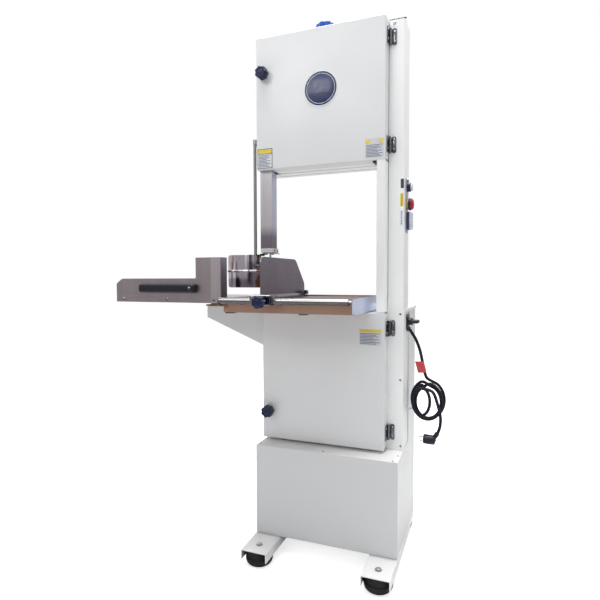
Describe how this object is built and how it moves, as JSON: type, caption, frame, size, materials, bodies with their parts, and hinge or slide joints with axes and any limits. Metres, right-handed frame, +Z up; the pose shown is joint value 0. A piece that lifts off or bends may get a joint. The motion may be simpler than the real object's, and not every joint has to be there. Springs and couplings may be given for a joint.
{
  "type": "bone saw",
  "caption": "Floor-standing butcher's band saw: doored wheel housings joined by a column, steel table with fence, sliding carriage with hand guard, pusher, motor cabinet and rubber feet.",
  "frame": {"origin": "middle of the bounding box footprint, on the floor", "axes": "+X to the right facing the doors, +Y away from the operator, +Z up"},
  "size_m": [1.097, 0.561, 1.779],
  "materials": {
    "white_paint": "gloss white powder coat",
    "brushed_steel": "brushed stainless sheet",
    "polished_steel": "polished stainless",
    "table_steel": "satin stainless with a warm reflection",
    "blade_steel": "ground spring steel",
    "cast_metal": "machined and painted casting",
    "foot_rubber": "matt black moulded rubber",
    "belt_rubber": "matt black belt",
    "cable_pvc": "black PVC sheath",
    "black_plastic": "moulded black plastic",
    "knob_plastic": "moulded dark navy plastic",
    "blue_plastic": "moulded blue plastic",
    "red_plastic": "moulded red plastic",
    "green_plastic": "moulded green plastic",
    "white_nylon": "machined white nylon"
  },
  "bodies": {
    "frame": {"upper_housing": "white_paint", "column": "white_paint", "return_blade_guard": "white_paint", "lower_housing": "white_paint", "motor_cabinet": "white_paint", "motor_cabinet_lid": "white_paint", "base_cabinet": "white_paint", "left_foot_channel": "white_paint", "right_foot_channel": "white_paint", "table_bracket": "white_paint", "rubber_foot_front_left": "foot_rubber", "rubber_foot_front_right": "foot_rubber", "rubber_foot_rear_left": "foot_rubber", "rubber_foot_rear_right": "foot_rubber", "upper_door_hinge_top_frame_leaf": "polished_steel", "upper_door_hinge_bottom_frame_leaf": "polished_steel", "lower_door_hinge_top_frame_leaf": "polished_steel", "lower_door_hinge_bottom_frame_leaf": "polished_steel", "fence_rail": "polished_steel", "motor": "cast_metal", "guide_bracket": "cast_metal", "saw_blade": "blade_steel", "drive_belt": "belt_rubber", "table_tray": "table_steel", "carriage_bearings": "brushed_steel", "control_plate": "brushed_steel", "start_stop_body": "black_plastic", "main_switch_body": "black_plastic", "mains_plug": "black_plastic", "power_cable": "cable_pvc"},
    "upper_door": {"upper_door": "white_paint", "upper_door_hinge_top_door_leaf": "polished_steel", "upper_door_hinge_bottom_door_leaf": "polished_steel"},
    "upper_door_knob": {"upper_door_knob": "knob_plastic"},
    "lower_door": {"lower_door": "white_paint", "lower_door_hinge_top_door_leaf": "polished_steel", "lower_door_hinge_bottom_door_leaf": "polished_steel"},
    "lower_door_knob": {"lower_door_knob": "knob_plastic"},
    "tension_screw": {"tension_knob": "blue_plastic"},
    "tension_slide": {"tension_slide": "blade_steel"},
    "upper_wheel": {"upper_wheel": "cast_metal"},
    "lower_wheel": {"lower_wheel": "cast_metal", "drive_shaft": "blade_steel"},
    "motor_rotor": {"motor_pulley": "cast_metal"},
    "blade_guide": {"guide_channel": "brushed_steel", "guide_block": "white_nylon", "guide_post": "brushed_steel"},
    "pusher": {"pusher_arm": "polished_steel", "pusher_plate": "polished_steel"},
    "fence": {"fence_plate": "brushed_steel", "fence_clamp": "polished_steel"},
    "fence_knob": {"fence_knob": "knob_plastic"},
    "carriage": {"carriage_tray": "brushed_steel", "carriage_guard": "brushed_steel", "carriage_handle": "black_plastic"},
    "reset_button": {"reset_button": "blue_plastic"},
    "estop_button": {"estop_button": "red_plastic"},
    "start_button": {"start_button": "green_plastic"},
    "stop_button": {"stop_button": "red_plastic"},
    "main_switch": {"main_switch_knob": "black_plastic"}
  },
  "joints": [
    {"name": "upper_door_hinge", "type": "hinge", "parent": "frame", "child": "upper_door", "pos_m": [0.37648, 0.0175, 1.512], "axis": [0, 0, 1], "range_deg": [0, 100]},
    {"name": "lower_door_hinge", "type": "hinge", "parent": "frame", "child": "lower_door", "pos_m": [0.37648, 0.0175, 0.592], "axis": [0, 0, 1], "range_deg": [0, 100]},
    {"name": "upper_door_knob_turn", "type": "hinge", "parent": "upper_door", "child": "upper_door_knob", "pos_m": [-0.04152, -0.0485, 1.6075], "axis": [0, 1, 0], "continuous": true},
    {"name": "lower_door_knob_turn", "type": "hinge", "parent": "lower_door", "child": "lower_door_knob", "pos_m": [-0.02652, -0.0485, 0.467], "axis": [0, 1, 0], "continuous": true},
    {"name": "tension_knob_turn", "type": "hinge", "parent": "frame", "child": "tension_screw", "pos_m": [0.14898, 0.0555, 1.765], "axis": [0, 0, 1], "range_deg": [0, 1800]},
    {"name": "tension_slide_travel", "type": "slide", "parent": "frame", "child": "tension_slide", "axis": [0, 0, 1], "range_m": [-0.01, 0]},
    {"name": "lower_wheel_spin", "type": "hinge", "parent": "frame", "child": "lower_wheel", "pos_m": [0.15498, 0.0255, 0.579], "axis": [0, 1, 0], "continuous": true},
    {"name": "upper_wheel_spin", "type": "hinge", "parent": "tension_slide", "child": "upper_wheel", "pos_m": [0.15498, 0.0255, 1.525], "axis": [0, 1, 0], "continuous": true},
    {"name": "motor_spin", "type": "hinge", "parent": "frame", "child": "motor_rotor", "pos_m": [0.15498, 0.1965, 0.176], "axis": [0, 1, 0], "continuous": true},
    {"name": "blade_guide_height", "type": "slide", "parent": "frame", "child": "blade_guide", "axis": [0, 0, 1], "range_m": [0, 0.12]},
    {"name": "pusher_swing", "type": "hinge", "parent": "frame", "child": "pusher", "pos_m": [-0.09252, 0.0335, 1.397], "axis": [1, 0, 0], "range_deg": [-4, 22]},
    {"name": "fence_travel", "type": "slide", "parent": "frame", "child": "fence", "axis": [1, 0, 0], "range_m": [-0.07, 0.22]},
    {"name": "fence_knob_turn", "type": "hinge", "parent": "fence", "child": "fence_knob", "pos_m": [0.04748, -0.2685, 0.852], "axis": [0, 1, 0], "continuous": true},
    {"name": "carriage_travel", "type": "slide", "parent": "frame", "child": "carriage", "axis": [0, 1, 0], "range_m": [-0.11, 0.1]},
    {"name": "reset_press", "type": "slide", "parent": "frame", "child": "reset_button", "axis": [-1, 0, 0], "range_m": [0, 0.003]},
    {"name": "estop_press", "type": "slide", "parent": "frame", "child": "estop_button", "axis": [-1, 0, 0], "range_m": [0, 0.004]},
    {"name": "start_press", "type": "slide", "parent": "frame", "child": "start_button", "axis": [-1, 0, 0], "range_m": [0, 0.0025]},
    {"name": "stop_press", "type": "slide", "parent": "frame", "child": "stop_button", "axis": [-1, 0, 0], "range_m": [0, 0.0025]},
    {"name": "main_switch_turn", "type": "hinge", "parent": "frame", "child": "main_switch", "pos_m": [0.44048, 0.0995, 0.777], "axis": [1, 0, 0], "range_deg": [0, 90]}
  ],
  "couplings": [
    {"joint": "tension_knob_turn", "follows": "tension_slide_travel", "rad_per_m": -3141.5},
    {"joint": "upper_wheel_spin", "follows": "lower_wheel_spin", "ratio": 1},
    {"joint": "motor_spin", "follows": "lower_wheel_spin", "ratio": 1.5455}
  ]
}
